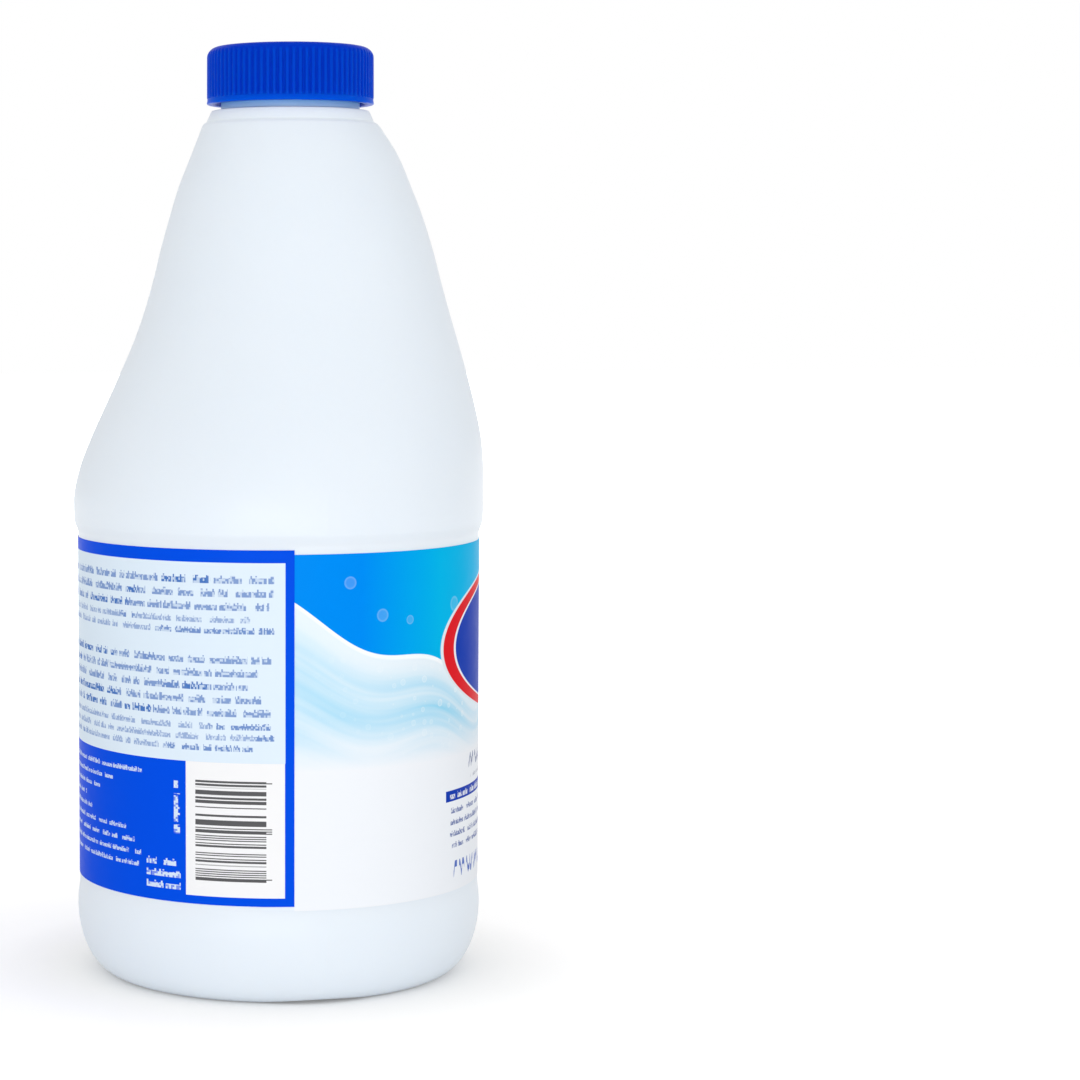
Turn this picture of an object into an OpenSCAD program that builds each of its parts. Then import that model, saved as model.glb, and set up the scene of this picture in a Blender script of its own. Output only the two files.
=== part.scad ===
// Bleach bottle: a blow-moulded bottle with a scooped back and a recessed label panel,
// a wrap-around film label, and a ribbed screw cap that holds a foam seal.
// Millimetres. +Z is up, the front faces -Y, and the origin is under the middle of the base.

/* [Body] */
// Widest diameter, at the bulge over the label
body_d = 106; // [100:0.5:112]
// Height of the widest ring above the base
bulge_z = 121.5; // [120:0.5:126]
// Height of the shoulder's top, where the collar starts
shoulder_z = 219; // [210:0.5:228]
// Radius of the rounded edge at the shoulder's top
shoulder_round = 1.2; // [0.5:0.1:2]
// How far the neck stands forward of the body's axis
neck_offset = 3.1; // [0:0.1:5]
// Thickness of the blown wall
wall_t = 0.9; // [0.7:0.05:1.3]

/* [Label panel] */
// Depth of the panel below the bulge
panel_depth = 1.1; // [0.6:0.05:1.6]
// Height of the panel's lower edge
panel_low_z = 24; // [22:0.5:30]
// Height of the panel's upper edge
panel_high_z = 114; // [106:0.5:115]
// How far the band under the panel stands out from it
band_proud = 0.5; // [0.2:0.05:0.9]
// Height over which the band runs down into the panel
band_step_h = 6; // [4:0.5:8]
// Height of the rounded step at the panel's upper edge
top_step_h = 3; // [2:0.25:4]
// Part of the panel's depth that this step takes
top_step_share = 0.6; // [0.4:0.05:0.8]

/* [Base] */
// Width of the rounded heel
heel_w = 9.8; // [7:0.1:12]
// Height of the rounded heel
heel_h = 17.5; // [10:0.5:18]
// Width of the flat ring that the bottle stands on
ring_w = 2.2; // [1.5:0.1:4]
// Height of the hollow under the base
pushup_h = 6; // [4:0.25:8]
// Width over which the hollow rises from the ring
pushup_run = 11; // [8:0.5:16]
// Thickness of the floor
floor_t = 2; // [1.8:0.1:2.6]
// Width of the relief across the standing ring, along the parting line
notch_w = 29; // [20:0.5:36]
// Height of this relief
notch_h = 1; // [0.5:0.1:1.2]

/* [Neck] */
// Outer diameter of the neck between its threads
neck_d = 35.6; // [34:0.1:37]
// Thickness of the neck's wall
neck_t = 1.7; // [1.2:0.1:2.2]
// Height of the collar on the shoulder
collar_h = 2.8; // [2:0.1:4]
// Width of the ledge on top of the collar, around the neck
collar_ledge = 2.5; // [1.9:0.1:3]
// How far the collar's foot stands out beyond its top
collar_flare = 1.1; // [0:0.1:1.5]
// Width of the step between the collar's foot and the shoulder
shoulder_ledge = 0.85; // [0.5:0.05:2]

/* [Thread] */
// Rise of the thread in one turn
thread_pitch = 4.233; // [4:0.001:4.5]
// Height of the thread's ridges
thread_depth = 1; // [0.8:0.05:1.15]
// Width of a ridge at its foot
ridge_foot_w = 2.1; // [1.9:0.05:2.2]
// Width of a ridge at its crest
ridge_crest_w = 0.9; // [0.7:0.05:1]
// Turns of thread on the neck
neck_turns = 1.75; // [1.25:0.05:2]
// Turns of thread in the cap
cap_turns = 1.5; // [1:0.05:1.6]
// Distance from the rim to the middle of the uppermost ridge
thread_top_gap = 1.8; // [1.6:0.05:2.2]
// Clearance between the ridges of neck and cap
thread_clear = 0.3; // [0.25:0.01:0.4]

/* [Cap] */
// Thickness of the cap's skirt, its ribs included
cap_wall_t = 2.3; // [2:0.05:2.8]
// Height of the cap
cap_h = 14.5; // [13.5:0.1:15.5]
// Gap between the collar and the cap's lip
cap_gap = 1.7; // [1:0.1:3]
// Thickness of the cap's top
cap_top_t = 1.3; // [1:0.05:1.8]
// Radius of the cap's rounded top edge
cap_edge_r = 2.8; // [1:0.1:3.2]
// Number of ribs around the cap
rib_count = 81; // [60:1:100]
// Depth of the grooves between the ribs
rib_depth = 0.45; // [0.3:0.05:0.6]
// Height of the smooth band under the ribs
cap_band_h = 1.4; // [1:0.1:2]
// How far this band flares out at the cap's lip
cap_flare = 0.15; // [0.05:0.05:0.5]

/* [Seal] */
// Thickness of the foam disc in the cap
seal_t = 1; // [0.8:0.05:1.5]
// Gap around the disc
seal_clear = 0.3; // [0.2:0.05:0.5]

/* [Label] */
// Thickness of the label film
film_t = 0.1; // [0.06:0.01:0.15]
// Distance from the panel's lower edge to the label
label_low_gap = 1.3; // [0.5:0.1:4]
// Distance from the label to the panel's upper edge
label_high_gap = 1.3; // [0.5:0.1:4]
// Length of the lap where the label's two ends overlap
lap_w = 8; // [5:0.5:12]
// Direction of the lap's visible edge, seen from above
lap_angle = 171; // [0:1:359]

/* [Hidden] */

$fn = 96;
// Sides of the shoulder's rings, and rings from the bulge to the collar
loft_sides = 72;
loft_rings = 28;
// How far one solid reaches into the next where they join
bite = 0.5;
// How far the shoulder's facets stay inside the round body where they join
tuck = 0.03;

body_r = body_d / 2;
panel_r = body_r - panel_depth;
band_r = panel_r + band_proud;
heel_centre_r = band_r - heel_w;
ring_in_r = heel_centre_r - ring_w;
crown = panel_depth * (1 - top_step_share);

collar_z = shoulder_z + collar_h;
cap_z = collar_z + cap_gap;
rim_z = cap_z + cap_h - cap_top_t - seal_t;
neck_r = neck_d / 2;
bore_r = neck_r - neck_t;
rim_round = 0.4;
collar_high_r = neck_r + collar_ledge;
collar_low_r = collar_high_r + collar_flare;
shoulder_top_r = collar_low_r + shoulder_ledge;

// The shoulder's front and back profiles in equal steps of height: how much of the way
// from the bulge in to the collar each has come. The back's is scooped for the hand.
front_in = [0, 0, 0.02, 0.076, 0.149, 0.231, 0.317, 0.398, 0.475, 0.568, 0.682, 0.81, 1];
back_in = [0, 0.041, 0.131, 0.24, 0.35, 0.456, 0.543, 0.613, 0.672, 0.739, 0.812, 0.908, 1];

// Radial room between the neck's ridges and the cap's wall, and between the cap's and the neck
skirt_in_r = neck_r + thread_depth + thread_clear;
rib_r = skirt_in_r + cap_wall_t;
groove_r = rib_r - rib_depth;
cap_band_r = rib_r - rib_depth / 4;
cap_band_z = cap_z + cap_band_h;
cap_in_z = rim_z + seal_t;
// The cap's ridge hangs under the neck's by the two half widths where they overlap
flank_run = (ridge_foot_w - ridge_crest_w) / thread_depth;
ridge_overlap = thread_depth - thread_clear;
ridge_drop = ridge_crest_w + flank_run * ridge_overlap / 2
    + thread_clear * sqrt(4 + flank_run * flank_run) / 2;
neck_thread_z = rim_z - thread_top_gap - neck_turns * thread_pitch;
cap_thread_z = rim_z - thread_top_gap - ridge_drop - cap_turns * thread_pitch;
thread_steps = 48;
thread_taper = 24;

label_low_z = panel_low_z + label_low_gap;
label_high_z = panel_high_z - label_high_gap;

// Eases from 0 to 1 as t does
function ease(t) = let (c = min(max(t, 0), 1)) c * c * (3 - 2 * c);

// Value of a smooth curve through equally spaced stations, at u from 0 to 1
function through(stations, u) =
    let (
        last = len(stations) - 1,
        i = min(floor(u * last), last - 1),
        t = u * last - i,
        a = i == 0 ? stations[1] : stations[i - 1],
        b = stations[i],
        c = stations[i + 1],
        d = i + 2 > last ? 2 * c - b : stations[i + 2]
    )
    b + t / 2 * (c - a + t * (2 * a - 5 * b + 4 * c - d + t * (3 * (b - c) + d - a)));

// Reach of the shoulder to the front and to the back at u, from the bulge to the collar
function front_reach(u) =
    body_r + (shoulder_top_r + neck_offset - body_r) * through(front_in, u);
function back_reach(u) =
    body_r + (shoulder_top_r - neck_offset - body_r) * through(back_in, u);
function ring_r(u) = (front_reach(u) + back_reach(u)) / 2;
function ring_y(u) = (back_reach(u) - front_reach(u)) / 2;
function ring_z(u) = bulge_z + (shoulder_z - bulge_z) * u;

// Radius of the shoulder's inner face: the wall's thickness is square to the outer face
function ring_slope(u) =
    let (du = 0.01) (ring_r(u + du) - ring_r(u - du)) / (ring_z(u + du) - ring_z(u - du));
function inner_ring_r(u) =
    let (v = min(max(u, 0.01), 0.99)) ring_r(u) - wall_t * sqrt(1 + pow(ring_slope(v), 2));

// Radius of the body's side below the bulge
function side_r(z) =
    z < panel_low_z ? panel_r + band_proud * ease((panel_low_z - z) / band_step_h) :
    z < panel_high_z ? panel_r :
    let (to_go = (bulge_z - z) / (bulge_z - panel_high_z))
    panel_r + (panel_depth - crown) * ease((z - panel_high_z) / top_step_h)
        + crown * (1 - to_go * to_go);

// Heights at which the side's outline turns
side_levels = concat(
    [for (i = [0:5])
        let (z = panel_low_z - band_step_h + band_step_h * i / 5)
        if (z > heel_h) z],
    [for (i = [0:6]) panel_high_z + top_step_h * i / 6],
    [for (i = [1:4]) panel_high_z + top_step_h
        + (bulge_z - panel_high_z - top_step_h) * i / 4]
);

// Height of the hollow under the base at radius r
function pushup_z(r) = pushup_h * ease((ring_in_r - r) / pushup_run);
pushup_steps = 7;
pushup_rs = [for (i = [0:pushup_steps]) ring_in_r - pushup_run * (1 - i / pushup_steps)];

// Half outline of the body from its base to the bulge, each face moved in by t,
// and the floor's by base_t
function body_outline(t, base_t) = concat(
    [[0, pushup_h + base_t]],
    [for (r = pushup_rs) [r - t / 2, pushup_z(r) + base_t]],
    [for (a = [-90:9:0])
        [heel_centre_r + (heel_w - t) * cos(a), base_t + (heel_h - base_t) * (1 + sin(a))]],
    [for (z = side_levels) [side_r(z) - t, z]],
    [[0, bulge_z]]
);

// A closed stack of round rings, each given as [radius, y of its middle, z]
module loft(rings) {
    n = loft_sides;
    last = len(rings) - 1;
    points = [for (ring = rings, k = [0:n - 1])
        let (a = 360 * k / n)
        [ring[0] * cos(a), ring[1] + ring[0] * sin(a), ring[2]]];
    sides = [for (i = [0:last - 1], k = [0:n - 1])
        let (a = i * n + k, b = i * n + (k + 1) % n)
        each [[a, a + n, b], [b, a + n, b + n]]];
    polyhedron(points, concat(
        [[for (k = [0:n - 1]) k]],
        sides,
        [[for (k = [0:n - 1]) last * n + n - 1 - k]]
    ));
}

module shoulder() {
    edge = shoulder_round / (shoulder_z - bulge_z);
    loft(concat(
        [[body_r - tuck, 0, bulge_z - bite]],
        [for (i = [0:loft_rings])
            let (u = (1 - edge) * i / loft_rings)
            [ring_r(u) - (i == 0 ? tuck : 0), ring_y(u), ring_z(u)]],
        [for (a = [18:18:90])
            let (u = 1 - edge * (1 - sin(a)))
            [ring_r(u) - shoulder_round * (1 - cos(a)), ring_y(u), ring_z(u)]]
    ));
}

// The hollow of the shoulder: it narrows to the neck's bore in its last step
module shoulder_hollow() {
    steps = loft_rings / 2;
    top_z = shoulder_z - wall_t;
    loft(concat(
        [[body_r - wall_t - tuck, 0, bulge_z - bite]],
        [for (i = [0:steps - 1])
            let (u = i / steps)
            [inner_ring_r(u) - (i == 0 ? tuck : 0), ring_y(u), ring_z(u)]],
        [[bore_r + (inner_ring_r(1) - bore_r) / 2, ring_y(1), shoulder_z - 3 * wall_t],
            [bore_r - tuck, ring_y(1), top_z]]
    ));
}

// A helical ridge around the Z axis, rising anticlockwise from z.
// Its foot is at foot_r and its crest lies depth outside, or inside where depth is negative.
module ridge(foot_r, depth, z, turns) {
    steps = round(turns * thread_steps);
    span = turns * 360;
    side = depth > 0 ? 1 : -1;
    function section(i) =
        let (
            a = span * i / steps,
            end = min(a, span - a) / thread_taper,
            full = min(max(end, 0.1), 1),
            crest_r = foot_r + depth * full,
            at = z + thread_pitch * a / 360
        )
        [for (p = [[foot_r - side * bite, -ridge_foot_w / 2], [crest_r, -ridge_crest_w / 2],
            [crest_r, ridge_crest_w / 2], [foot_r - side * bite, ridge_foot_w / 2]])
            [p[0] * cos(a), p[0] * sin(a), at + p[1]]];
    points = [for (i = [0:steps]) each section(i)];
    around = [for (i = [0:steps - 1], k = [0:3])
        let (a = 4 * i + k, b = 4 * i + (k + 1) % 4)
        each [[a, b, a + 4], [b, b + 4, a + 4]]];
    far = 4 * steps;
    ends = [[3, 2, 1, 0], [far, far + 1, far + 2, far + 3]];
    faces = concat(around, ends);
    inwards = [for (face = faces) [for (k = [len(face) - 1:-1:0]) face[k]]];
    polyhedron(points, side > 0 ? faces : inwards);
}

// The collar and the neck, round about the neck's own axis
module neck() {
    rotate_extrude() polygon([
        [0, shoulder_z - bite],
        [collar_low_r, shoulder_z - bite],
        [collar_low_r, shoulder_z],
        [collar_high_r, collar_z],
        [neck_r, collar_z],
        [neck_r, rim_z - rim_round],
        [neck_r - rim_round, rim_z],
        [0, rim_z]
    ]);
    ridge(neck_r, thread_depth, neck_thread_z, neck_turns);
}

// The relief across the base: a shallow arch along the parting line
module base_relief() {
    arch_r = (pow(notch_w / 2, 2) + notch_h * notch_h) / (2 * notch_h);
    translate([0, 0, notch_h - arch_r])
        rotate([0, 90, 0])
            cylinder(h = body_d, r = arch_r, center = true, $fn = 360);
}

module bottle() {
    color("aliceblue") difference() {
        union() {
            rotate_extrude() polygon(body_outline(0, 0));
            shoulder();
            translate([0, -neck_offset, 0]) neck();
        }
        rotate_extrude() polygon(body_outline(wall_t, floor_t));
        shoulder_hollow();
        translate([0, -neck_offset, shoulder_z - wall_t - bite])
            cylinder(h = rim_z - shoulder_z + wall_t + 2 * bite, r = bore_r);
        base_relief();
    }
}

// The label: one turn of film, with its end lapped over its start
module label() {
    color("royalblue") union() {
        rotate_extrude() translate([panel_r, label_low_z])
            square([film_t, label_high_z - label_low_z]);
        lap = lap_w / panel_r * 180 / PI;
        rotate([0, 0, lap_angle - lap]) rotate_extrude(angle = lap)
            translate([panel_r + film_t / 2, label_low_z])
                square([film_t * 1.5, label_high_z - label_low_z]);
    }
}

// Outline of the ribbed side, as a ring of flat-topped ribs
function rib_points() = [for (i = [0:rib_count - 1], p = [[-0.3, 0], [-0.16, 1], [0.16, 1], [0.3, 0]])
    let (a = 360 * (i + p[0]) / rib_count, r = groove_r + rib_depth * p[1])
    [r * cos(a), r * sin(a)]];

// Half outline that rounds the ribs off at the cap's top edge. It clears their sides.
module cap_top_outline() {
    corner = [rib_r + tuck - cap_edge_r, cap_z + cap_h - cap_edge_r];
    polygon(concat(
        [[0, cap_band_z], [rib_r + bite, cap_band_z], [rib_r + bite, corner[1]]],
        [for (a = [0:15:90]) corner + cap_edge_r * [cos(a), sin(a)]],
        [[0, cap_z + cap_h]]
    ));
}

module cap() {
    color("mediumblue") translate([0, -neck_offset, 0]) {
        difference() {
            union() {
                intersection() {
                    translate([0, 0, cap_band_z])
                        linear_extrude(cap_h) polygon(rib_points());
                    rotate_extrude() cap_top_outline();
                }
                rotate_extrude() polygon([
                    [0, cap_z],
                    [cap_band_r + cap_flare, cap_z],
                    [cap_band_r, cap_band_z],
                    [groove_r - bite, cap_band_z],
                    [groove_r - bite, cap_band_z + bite],
                    [0, cap_band_z + bite]
                ]);
            }
            translate([0, 0, cap_z - bite])
                cylinder(h = cap_in_z - cap_z + bite, r = skirt_in_r);
        }
        // Turned so that its upper end lies under the upper end of the neck's
        rotate([0, 0, 360 * (neck_turns - cap_turns)])
            ridge(skirt_in_r, -thread_depth, cap_thread_z, cap_turns);
    }
}

// The foam disc between the neck's rim and the cap's top
module seal() {
    color("white") translate([0, -neck_offset, rim_z])
        cylinder(h = seal_t, r = skirt_in_r - seal_clear);
}

bottle();
label();
cap();
seal();
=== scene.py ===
"""A blow-moulded bleach bottle with a wrap-around label and a ribbed screw cap.

Lengths are in metres, in the frame's own axes: +Z is up and the front faces -Y.
"""
import math

import bpy
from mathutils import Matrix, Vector


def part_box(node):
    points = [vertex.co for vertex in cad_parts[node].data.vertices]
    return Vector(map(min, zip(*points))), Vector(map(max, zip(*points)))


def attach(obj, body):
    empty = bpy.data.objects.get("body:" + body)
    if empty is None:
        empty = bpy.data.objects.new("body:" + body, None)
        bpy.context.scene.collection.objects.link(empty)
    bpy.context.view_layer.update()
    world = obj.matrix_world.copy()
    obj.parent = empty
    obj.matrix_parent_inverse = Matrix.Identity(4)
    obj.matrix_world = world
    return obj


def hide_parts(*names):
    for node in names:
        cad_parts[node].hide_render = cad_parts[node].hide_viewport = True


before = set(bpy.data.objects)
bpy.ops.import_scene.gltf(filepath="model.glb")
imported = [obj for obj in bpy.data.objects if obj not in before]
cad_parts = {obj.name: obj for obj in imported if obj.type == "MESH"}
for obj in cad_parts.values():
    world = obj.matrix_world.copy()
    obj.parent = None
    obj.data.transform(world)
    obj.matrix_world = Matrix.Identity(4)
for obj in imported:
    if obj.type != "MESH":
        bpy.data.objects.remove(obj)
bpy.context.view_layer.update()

MM = 0.001

# Sizes that the frame gives
CAP_LOW, CAP_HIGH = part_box("cap")
LABEL_LOW, LABEL_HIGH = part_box("label")
SEAL_LOW, SEAL_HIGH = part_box("seal")

# The body's side, below the shoulder
FILM_T = 0.1 * MM
LABEL_R = LABEL_HIGH.y
PANEL_R = LABEL_R - FILM_T
PANEL_DEPTH = 1.1 * MM
BODY_R = PANEL_R + PANEL_DEPTH
BAND_PROUD = 0.5 * MM
PANEL_LOW_Z = LABEL_LOW.z - 1.3 * MM
PANEL_HIGH_Z = LABEL_HIGH.z + 1.3 * MM
BAND_STEP_H = 6 * MM
TOP_STEP_H = 3 * MM
TOP_STEP_SHARE = 0.6
BULGE_Z = 121.5 * MM
WALL_T = 0.9 * MM

# The base
HEEL_W = 9.8 * MM
HEEL_H = 17.5 * MM
RING_W = 2.2 * MM
PUSHUP_H = 6 * MM
PUSHUP_RUN = 11 * MM
FLOOR_T = 2 * MM
NOTCH_W = 29 * MM
NOTCH_H = 1 * MM

# The shoulder, the collar and the neck
RIM_Z = SEAL_LOW.z
NECK_Y = (SEAL_LOW.y + SEAL_HIGH.y) / 2
NECK_H = 13.9 * MM
COLLAR_H = 2.8 * MM
COLLAR_Z = RIM_Z - NECK_H
SHOULDER_Z = COLLAR_Z - COLLAR_H
SHOULDER_TOP_R = 22.25 * MM
SHOULDER_ROUND = 1.2 * MM
COLLAR_LOW_R = 21.4 * MM
COLLAR_HIGH_R = 20.3 * MM
NECK_R = 17.8 * MM
NECK_T = 1.7 * MM
BORE_R = NECK_R - NECK_T
RIM_ROUND = 0.4 * MM

# How much of its way in the shoulder has come, at even steps from the bulge up to the collar
FRONT_IN = (0, 0, 0.02, 0.076, 0.149, 0.231, 0.317, 0.398, 0.475, 0.568, 0.682, 0.81, 1)
BACK_IN = (0, 0.041, 0.131, 0.24, 0.35, 0.456, 0.543, 0.613, 0.672, 0.739, 0.812, 0.908, 1)

# The mould's parting line, a fine ridge up the bottle's two sides
PARTING_H = 0.04 * MM
PARTING_W = 0.4 * MM

# The screw thread. Both its ridges are drawn to the same end, as an angle round the neck.
PITCH = 4.233 * MM
RIDGE_H = 1 * MM
RIDGE_FOOT_W = 2.1 * MM
RIDGE_CREST_W = 0.9 * MM
NECK_TURNS = 1.75
CAP_TURNS = 1.5
THREAD_TOP_GAP = 1.8 * MM
THREAD_CLEAR = 0.3 * MM
THREAD_TAPER = math.radians(24)
THREAD_END = math.radians(630)
SKIRT_IN_R = NECK_R + RIDGE_H + THREAD_CLEAR

# The cap
RIB_COUNT = 81
RIB_DEPTH = 0.45 * MM
CAP_FLARE = 0.15 * MM
RIB_R = CAP_HIGH.x - CAP_FLARE + RIB_DEPTH / 4
CAP_BAND_H = 1.4 * MM
CAP_EDGE_R = 2.8 * MM

# The label's lap, and how much higher the film's end is stuck than its start
LAP_TURN = math.radians(171)
LAP_W = 8 * MM
LAP_SKEW = 1.1 * MM

# The photograph's camera. Its frame is 1080 pixels wide and high, and the bottle's middle
# stands BOTTLE_PX from the frame's left side.
FRAME_PX = 1080
LENS_PX = 2906
BOTTLE_PX = 278.6
SENSOR_MM = 36
CAMERA_TURN = math.radians(-103.25)
CAMERA_DIP = math.radians(4.73)
CAMERA_REACH = 752 * MM
CAMERA_Z = 173.7 * MM


def ease(t):
    """Runs smoothly from 0 to 1 as t does."""
    t = min(max(t, 0), 1)
    return t * t * (3 - 2 * t)


def through(stations, u):
    """Value at u, from 0 to 1, of a smooth curve through equally spaced stations."""
    last = len(stations) - 1
    i = min(int(u * last), last - 1)
    t = u * last - i
    a = stations[1] if i == 0 else stations[i - 1]
    b, c = stations[i], stations[i + 1]
    d = 2 * c - b if i + 2 > last else stations[i + 2]
    return b + t / 2 * (c - a + t * (2 * a - 5 * b + 4 * c - d + t * (3 * (b - c) + d - a)))


def smaller(a, b, blend):
    """The smaller of a and b, rounded over where they are within blend of each other."""
    share = min(max(0.5 + (b - a) / (2 * blend), 0), 1)
    return b + (a - b) * share - blend * share * (1 - share)


# Materials

class Value:
    """A socket's value. The usual operators add its Math nodes."""

    def __init__(self, nodes, socket):
        self.nodes = nodes
        self.socket = socket

    def __add__(self, other):
        return self.nodes.math("ADD", self, other)

    def __sub__(self, other):
        return self.nodes.math("SUBTRACT", self, other)

    def __rsub__(self, other):
        return self.nodes.math("SUBTRACT", other, self)

    def __mul__(self, other):
        return self.nodes.math("MULTIPLY", self, other)

    def __truediv__(self, other):
        return self.nodes.math("DIVIDE", self, other)

    def __mod__(self, other):
        return self.nodes.math("FLOORED_MODULO", self, other)

    def __pow__(self, other):
        return self.nodes.math("POWER", self, other)

    def __abs__(self):
        return self.nodes.math("ABSOLUTE", self)

    __radd__ = __add__
    __rmul__ = __mul__

    def floor(self):
        return self.nodes.math("FLOOR", self)

    def sine(self):
        return self.nodes.math("SINE", self)

    def root(self):
        return self.nodes.math("SQRT", self)

    def least(self, other):
        return self.nodes.math("MINIMUM", self, other)

    def most(self, other):
        return self.nodes.math("MAXIMUM", self, other)

    def over(self, edge, soft=0.04):
        """1 above edge and 0 below it, through a slope that is soft wide."""
        slope = self.nodes.math("MULTIPLY_ADD", self, 1 / soft, 0.5 - edge * (1 / soft))
        return self.nodes.node("ShaderNodeClamp", inputs={"Value": slope})["Result"]

    def under(self, edge, soft=0.04):
        """1 below edge and 0 above it."""
        return self.over(edge, -soft)

    def within(self, low, high, soft=0.04):
        """1 between low and high, and 0 outside them."""
        return self.over(low, soft) * self.under(high, soft)


class Nodes:
    """A node tree in the making."""

    def __init__(self, tree):
        self.tree = tree

    def plug(self, socket, value):
        """Gives an input a number, a colour or a link."""
        if isinstance(value, Value):
            self.tree.links.new(value.socket, socket)
        elif isinstance(value, (tuple, list)) and socket.type == "RGBA":
            socket.default_value = (*value[:3], 1)
        else:
            socket.default_value = value

    def node(self, kind, settings=None, inputs=None):
        """Adds a node, sets it up, then plugs its inputs. Gives its outputs by name."""
        made = self.tree.nodes.new(kind)
        for key, value in (settings or {}).items():
            setattr(made, key, value)
        for key, value in (inputs or {}).items():
            self.plug(made.inputs[key], value)
        return {out.name: Value(self, out) for out in made.outputs if out.enabled}

    def math(self, operation, a, b=0.0, c=0.0):
        inputs = {0: a, 1: b, 2: c}
        return self.node("ShaderNodeMath", {"operation": operation}, inputs)["Value"]

    def mix(self, factor, a, b):
        """Colour a where factor is 0, and b where it is 1."""
        colour_a, colour_b = 6, 7
        inputs = {"Factor": factor, colour_a: a, colour_b: b}
        return self.node("ShaderNodeMix", {"data_type": "RGBA"}, inputs)["Result"]

    def parts(self, vector):
        """The x, y and z of a vector."""
        made = self.node("ShaderNodeSeparateXYZ", inputs={"Vector": vector})
        return made["X"], made["Y"], made["Z"]

    def join(self, x, y, z):
        """A vector from its three numbers."""
        return self.node("ShaderNodeCombineXYZ", inputs={"X": x, "Y": y, "Z": z})["Vector"]

    def noise(self, place, scale, detail=2.0):
        """Soft noise from 0 to 1 at a point, or along a line if place is one number."""
        line = place.socket.type == "VALUE"
        settings = {"noise_dimensions": "1D" if line else "3D"}
        inputs = {"W" if line else "Vector": place, "Scale": scale, "Detail": detail}
        return self.node("ShaderNodeTexNoise", settings, inputs)["Fac"]

    def seen(self):
        """1 for rays from the camera, by way of gloss or glass too, and 0 for all others."""
        ray = self.node("ShaderNodeLightPath")
        return ray["Is Camera Ray"].most(ray["Is Glossy Ray"]).most(ray["Is Transmission Ray"])


class Paint(Nodes):
    """A material in the making: a Principled shader and the nodes that feed it."""

    def __init__(self, name, fixed):
        self.material = bpy.data.materials.new(name)
        self.material.use_nodes = True
        super().__init__(self.material.node_tree)
        self.shader = self.tree.nodes["Principled BSDF"]
        for key, value in fixed.items():
            self.plug(self.shader.inputs[key], value)
        self.place = self.node("ShaderNodeTexCoord")["Object"]

    def colour(self, value):
        self.plug(self.shader.inputs["Base Color"], value)

    def roughness(self, value):
        self.plug(self.shader.inputs["Roughness"], value)

    def bump(self, height, distance):
        """Raises the surface by height times distance, in metres."""
        inputs = {"Height": height, "Distance": distance, "Strength": 1.0}
        normal = self.node("ShaderNodeBump", inputs=inputs)["Normal"]
        self.plug(self.shader.inputs["Normal"], normal)


# Colours of the bottle, of the painted light on its crease and the painted blue light at its neck's
# foot, of the cap with its painted highlight and painted lip light, and of the foam
MILK = (0.76, 0.83, 0.911)
MILK_CLOUD = (0.79, 0.855, 0.927)
MILK_PAINTED_LIGHT = (0.88, 0.95, 0.99)
PAINTED_BLUE_LIGHT_LOW = (0.45, 0.70, 0.95)
PAINTED_BLUE_LIGHT_HIGH = (0.10, 0.42, 0.93)
CAP_BLUE = (0.0, 0.034, 0.52)
CAP_CREST_HIGHLIGHT = (0.0, 0.057, 0.56)
CAP_LIP_PAINTED_LIGHT = (0.0, 0.085, 0.66)
FOAM = (0.80, 0.80, 0.78)
FOAM_WALL = (0.88, 0.88, 0.87)


def blown_plastic():
    """Pale, satin polyethylene with the faint clouding and waviness of a blown wall.

    The foot of the neck has painted blue light, for the light that comes through the cap, and the
    crease at the collar's foot has painted light that lifts its shade.
    """
    paint = Paint("blown_polyethylene", {
        "Specular IOR Level": 0.3, "Subsurface Weight": 0.2,
        "Subsurface Radius": (0.8, 0.9, 1.0), "Subsurface Scale": 2 * MM})
    cloud = paint.noise(paint.place, 35, 3)
    grain = paint.noise(paint.place, 2600)
    wave = paint.noise(paint.place, 60, 1)
    _, _, z = paint.parts(paint.place)
    colour = paint.mix(cloud, MILK, MILK_CLOUD)
    # Painted light on the crease at the collar's foot, which lifts the shade that falls there
    crease = z.within(SHOULDER_Z - 0.5 * MM, SHOULDER_Z + 0.2 * MM, 0.4 * MM)
    colour = paint.mix(crease * 0.8, colour, MILK_PAINTED_LIGHT)
    # Painted blue light on the neck's foot, which stands for the light that comes through the cap
    painted_blue_light = paint.mix(z.over(COLLAR_Z + 1.0 * MM, 1.6 * MM), PAINTED_BLUE_LIGHT_LOW, PAINTED_BLUE_LIGHT_HIGH)
    painted_blue_light_mask = z.within(COLLAR_Z + 0.2 * MM, COLLAR_Z + 2.3 * MM, 0.5 * MM)
    paint.colour(paint.mix(painted_blue_light_mask * 0.85, colour, painted_blue_light))
    paint.roughness(0.33 + cloud * 0.1 + grain * 0.06)
    paint.bump(wave + grain * 0.03, 0.2 * MM)
    return paint.material


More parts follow.
